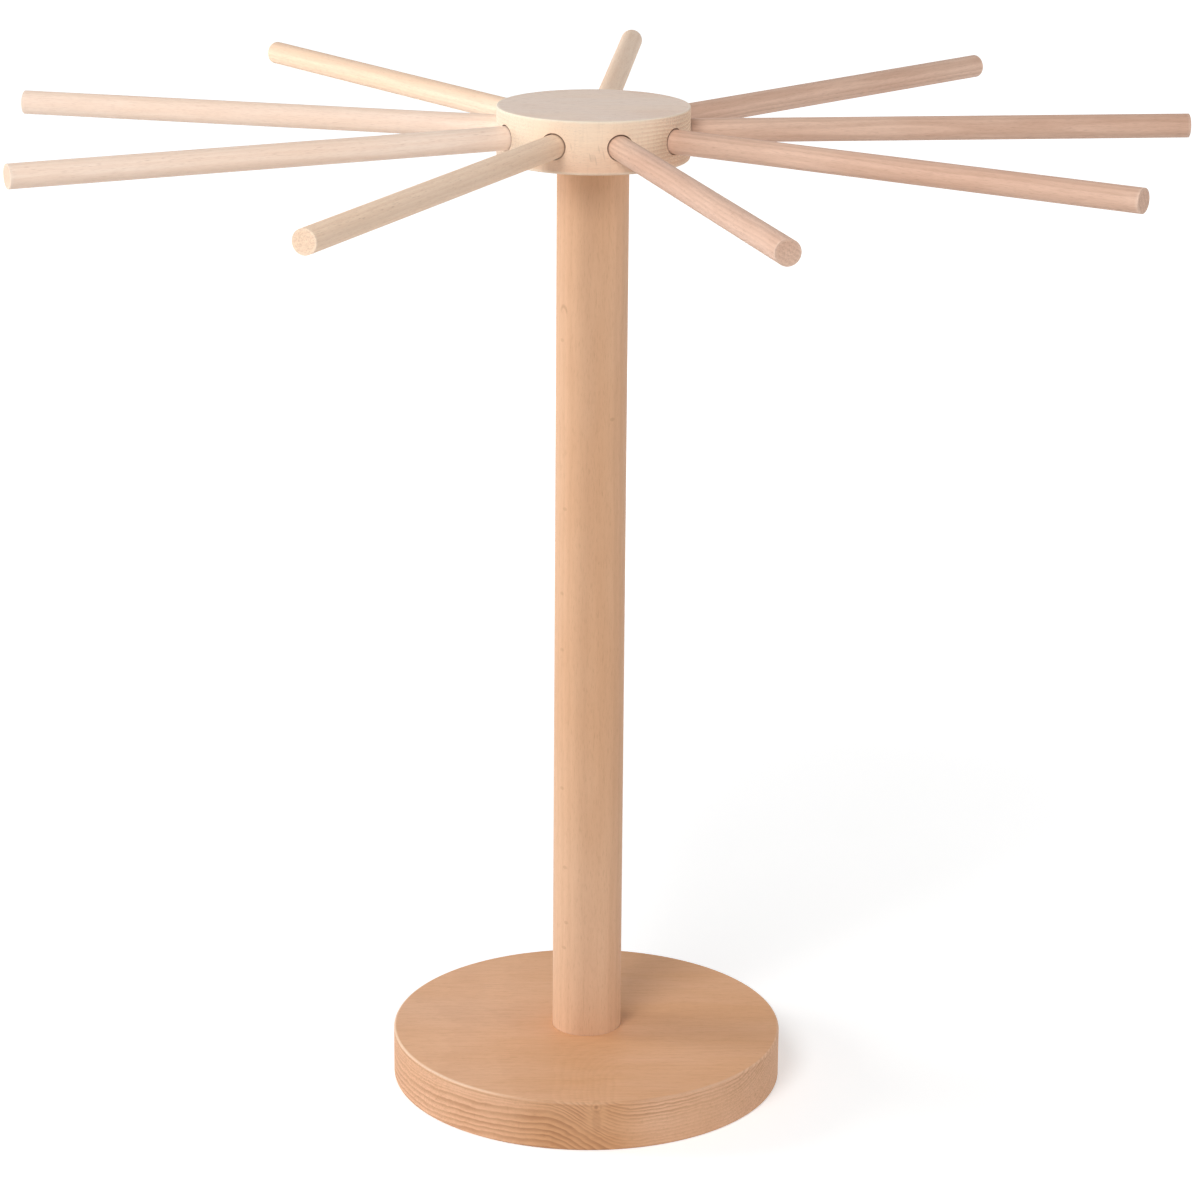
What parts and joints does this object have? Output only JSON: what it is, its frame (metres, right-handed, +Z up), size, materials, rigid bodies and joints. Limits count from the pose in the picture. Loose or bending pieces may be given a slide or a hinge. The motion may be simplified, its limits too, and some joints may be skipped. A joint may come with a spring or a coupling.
{
  "type": "pasta drying rack",
  "caption": "Wooden pasta drying rack: a round base and a turned post carry a turning hub with straight rods that push in like wheel spokes and draw out for storage.",
  "frame": {"origin": "centre of the base's underside, where the rack stands on the table", "axes": "+Z up along the post, which is also the hub's turning axis; -Y is the front, and +X is to the right seen from the front"},
  "size_m": [0.492, 0.492, 0.43],
  "materials": {
    "base_wood": "sanded bare beech",
    "post_wood": "sanded bare beech",
    "hub_wood": "sanded bare beech",
    "rod_wood": "sanded bare beech",
    "stud_steel": "zinc-plated steel",
    "pin_steel": "ground steel",
    "sleeve_brass": "machined brass"
  },
  "bodies": {
    "stand": {"base_disc": "base_wood", "base_stud": "stud_steel", "threaded_sleeve": "sleeve_brass", "post": "post_wood", "pivot_pin": "pin_steel"},
    "hub": {"hub_disc": "hub_wood"},
    "rod_1": {"rod_1": "rod_wood"},
    "rod_2": {"rod_2": "rod_wood"},
    "rod_3": {"rod_3": "rod_wood"},
    "rod_4": {"rod_4": "rod_wood"},
    "rod_5": {"rod_5": "rod_wood"},
    "rod_6": {"rod_6": "rod_wood"},
    "rod_7": {"rod_7": "rod_wood"},
    "rod_8": {"rod_8": "rod_wood"},
    "rod_9": {"rod_9": "rod_wood"}
  },
  "joints": [
    {"name": "hub_turn", "type": "hinge", "parent": "stand", "child": "hub", "pos_m": [0, 0, 0.419], "axis": [0, 0, 1], "continuous": true},
    {"name": "rod_1_draw", "type": "slide", "parent": "hub", "child": "rod_1", "axis": [0.9962, 0.0872, 0], "range_m": [0, 0.02]},
    {"name": "rod_2_draw", "type": "slide", "parent": "hub", "child": "rod_2", "axis": [0.7071, 0.7071, 0], "range_m": [0, 0.02]},
    {"name": "rod_3_draw", "type": "slide", "parent": "hub", "child": "rod_3", "axis": [0.0872, 0.9962, 0], "range_m": [0, 0.02]},
    {"name": "rod_4_draw", "type": "slide", "parent": "hub", "child": "rod_4", "axis": [-0.5736, 0.8192, 0], "range_m": [0, 0.02]},
    {"name": "rod_5_draw", "type": "slide", "parent": "hub", "child": "rod_5", "axis": [-0.9659, 0.2588, 0], "range_m": [0, 0.02]},
    {"name": "rod_6_draw", "type": "slide", "parent": "hub", "child": "rod_6", "axis": [-0.9063, -0.4226, 0], "range_m": [0, 0.02]},
    {"name": "rod_7_draw", "type": "slide", "parent": "hub", "child": "rod_7", "axis": [-0.4226, -0.9063, 0], "range_m": [0, 0.02]},
    {"name": "rod_8_draw", "type": "slide", "parent": "hub", "child": "rod_8", "axis": [0.2588, -0.9659, 0], "range_m": [0, 0.02]},
    {"name": "rod_9_draw", "type": "slide", "parent": "hub", "child": "rod_9", "axis": [0.8192, -0.5736, 0], "range_m": [0, 0.02]}
  ]
}
